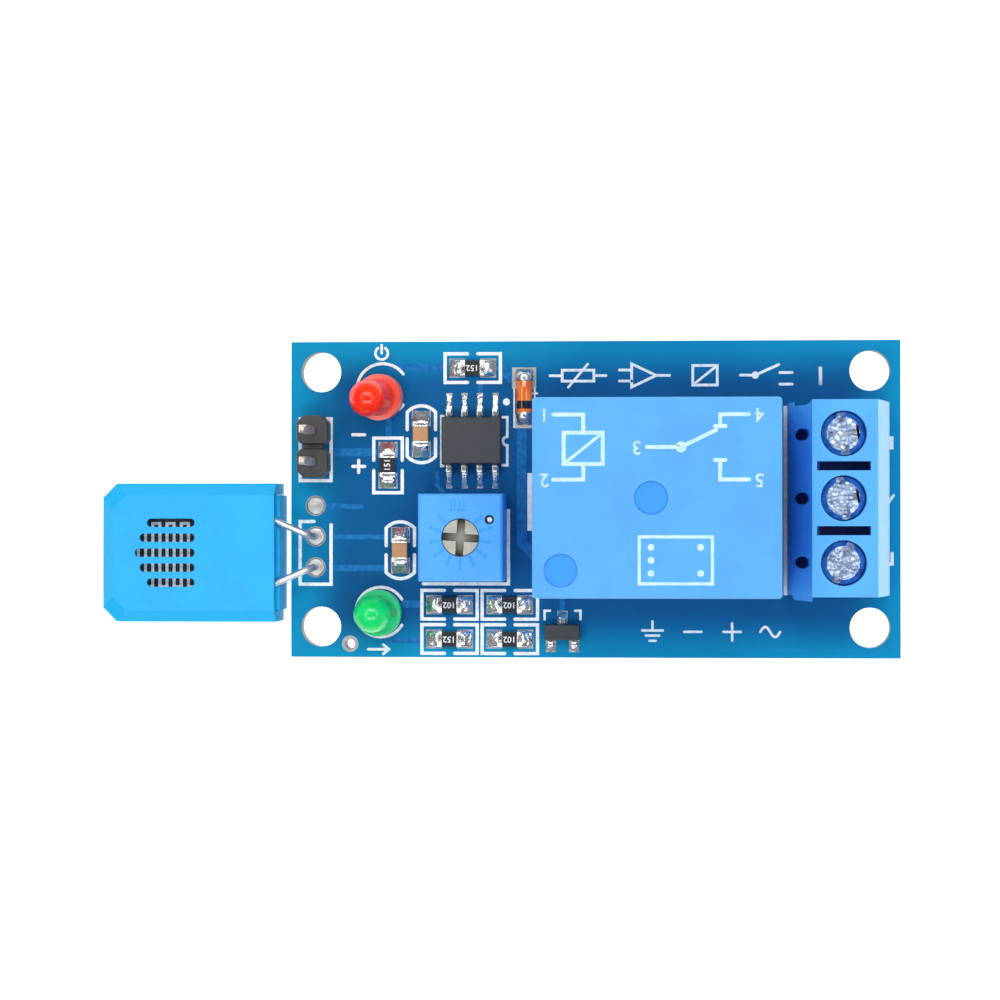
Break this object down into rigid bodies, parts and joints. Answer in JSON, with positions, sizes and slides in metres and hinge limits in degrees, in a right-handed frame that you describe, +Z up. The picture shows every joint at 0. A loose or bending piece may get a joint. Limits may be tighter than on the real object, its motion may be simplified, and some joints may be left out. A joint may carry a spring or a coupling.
{
  "type": "humidity sensor module",
  "caption": "Small circuit board that switches a relay from a vented humidity sensor, with screw terminals, a trimmer, indicator lamps and a pin header.",
  "frame": {"origin": "centre of the four mounting holes, on the underside of the circuit board", "axes": "+X towards the screw terminals, the sensor overhangs on -X, +Z up off the component side"},
  "size_m": [0.0652, 0.026, 0.0189],
  "materials": {
    "board_laminate": "smooth blue solder mask over glass laminate",
    "relay_case": "moulded sky-blue case plastic",
    "relay_base_resin": "blue base moulding with sealing resin",
    "terminal_plastic": "moulded blue terminal block plastic",
    "trimmer_plastic": "moulded light-blue case",
    "rotor_plastic": "grey-beige moulded rotor",
    "sensor_shell": "moulded sky-blue vented shell",
    "sensor_resin": "pale translucent casting resin",
    "substrate": "pale ceramic substrate",
    "comb_print": "printed carbon electrode",
    "tinned_lead": "tin-plated wire and strip",
    "solder": "bright solder",
    "screw_steel": "zinc-plated screw steel",
    "clamp_steel": "plated clamp steel",
    "relay_iron": "plated soft iron",
    "contact_brass": "contact bronze",
    "copper_wire": "enamelled copper winding",
    "bobbin_plastic": "natural nylon bobbin",
    "header_plastic": "black header moulding",
    "red_lens": "diffused red lens",
    "green_lens": "diffused green lens",
    "chip_moulding": "black epoxy moulding",
    "resistor_glaze": "black resistor glaze on ceramic",
    "capacitor_ceramic": "brown capacitor ceramic",
    "diode_glass": "orange-tinted glass"
  },
  "bodies": {
    "module": {"circuit_board": "board_laminate", "relay_cover": "relay_case", "relay_base": "relay_base_resin", "relay_yoke": "relay_iron", "relay_core": "relay_iron", "relay_bobbin": "bobbin_plastic", "relay_winding": "copper_wire", "open_contact": "contact_brass", "closed_contact": "contact_brass", "common_terminal": "contact_brass", "coil_pins": "tinned_lead", "terminal_housing": "terminal_plastic", "trimmer_housing": "trimmer_plastic", "trimmer_element": "substrate", "trimmer_pins": "tinned_lead", "sensor_cover": "sensor_shell", "sensor_back": "sensor_resin", "humidity_element": "substrate", "comb_upper": "comb_print", "comb_lower": "comb_print", "sensor_lead_upper": "tinned_lead", "sensor_lead_lower": "tinned_lead", "header_body": "header_plastic", "header_pins": "tinned_lead", "power_led_leads": "tinned_lead", "power_led_lens": "red_lens", "status_led_leads": "tinned_lead", "status_led_lens": "green_lens", "comparator_body": "chip_moulding", "comparator_leads": "tinned_lead", "transistor_body": "chip_moulding", "transistor_leads": "tinned_lead", "divider_resistor": "resistor_glaze", "power_led_resistor": "resistor_glaze", "base_resistor": "resistor_glaze", "pull_up_resistor": "resistor_glaze", "status_led_resistor": "resistor_glaze", "bleed_resistor": "resistor_glaze", "supply_capacitor": "capacitor_ceramic", "filter_capacitor": "capacitor_ceramic", "chip_end_caps": "solder", "diode_glass": "diode_glass", "diode_caps": "tinned_lead", "surface_solder": "solder", "through_solder": "solder", "terminal_tail_one": "tinned_lead", "terminal_tail_two": "tinned_lead", "terminal_tail_three": "tinned_lead"},
    "clamp_screw_one": {"terminal_screw_one": "screw_steel"},
    "clamp_cage_one": {"wire_cage_one": "clamp_steel"},
    "clamp_screw_two": {"terminal_screw_two": "screw_steel"},
    "clamp_cage_two": {"wire_cage_two": "clamp_steel"},
    "clamp_screw_three": {"terminal_screw_three": "screw_steel"},
    "clamp_cage_three": {"wire_cage_three": "clamp_steel"},
    "trimmer_turner": {"trimmer_rotor": "rotor_plastic", "trimmer_wiper": "contact_brass"},
    "relay_mover": {"relay_armature": "relay_iron", "contact_spring": "contact_brass"}
  },
  "joints": [
    {"name": "screw_one_turn", "type": "hinge", "parent": "module", "child": "clamp_screw_one", "pos_m": [0.0199, 0.00508, 0.0105], "axis": [0, 0, -1], "range_deg": [0, 1080]},
    {"name": "cage_one_lift", "type": "slide", "parent": "module", "child": "clamp_cage_one", "axis": [0, 0, 1], "range_m": [0, 0.0015]},
    {"name": "screw_two_turn", "type": "hinge", "parent": "module", "child": "clamp_screw_two", "pos_m": [0.0199, 0, 0.0105], "axis": [0, 0, -1], "range_deg": [0, 1080]},
    {"name": "cage_two_lift", "type": "slide", "parent": "module", "child": "clamp_cage_two", "axis": [0, 0, 1], "range_m": [0, 0.0015]},
    {"name": "screw_three_turn", "type": "hinge", "parent": "module", "child": "clamp_screw_three", "pos_m": [0.0199, -0.00508, 0.0105], "axis": [0, 0, -1], "range_deg": [0, 1080]},
    {"name": "cage_three_lift", "type": "slide", "parent": "module", "child": "clamp_cage_three", "axis": [0, 0, 1], "range_m": [0, 0.0015]},
    {"name": "trimmer_turn", "type": "hinge", "parent": "module", "child": "trimmer_turner", "pos_m": [-0.01062, -0.00312, 0.006], "axis": [0, 0, 1], "range_deg": [-130, 130]},
    {"name": "armature_rock", "type": "hinge", "parent": "module", "child": "relay_mover", "pos_m": [-0.00165, 0, 0.01245], "axis": [0, 1, 0], "range_deg": [0, 1.8], "stiffness_Nm_per_rad": 0.001, "springref_deg": -5.73}
  ],
  "couplings": [
    {"joint": "screw_one_turn", "follows": "cage_one_lift", "rad_per_m": 12566},
    {"joint": "screw_two_turn", "follows": "cage_two_lift", "rad_per_m": 12566},
    {"joint": "screw_three_turn", "follows": "cage_three_lift", "rad_per_m": 12566}
  ]
}
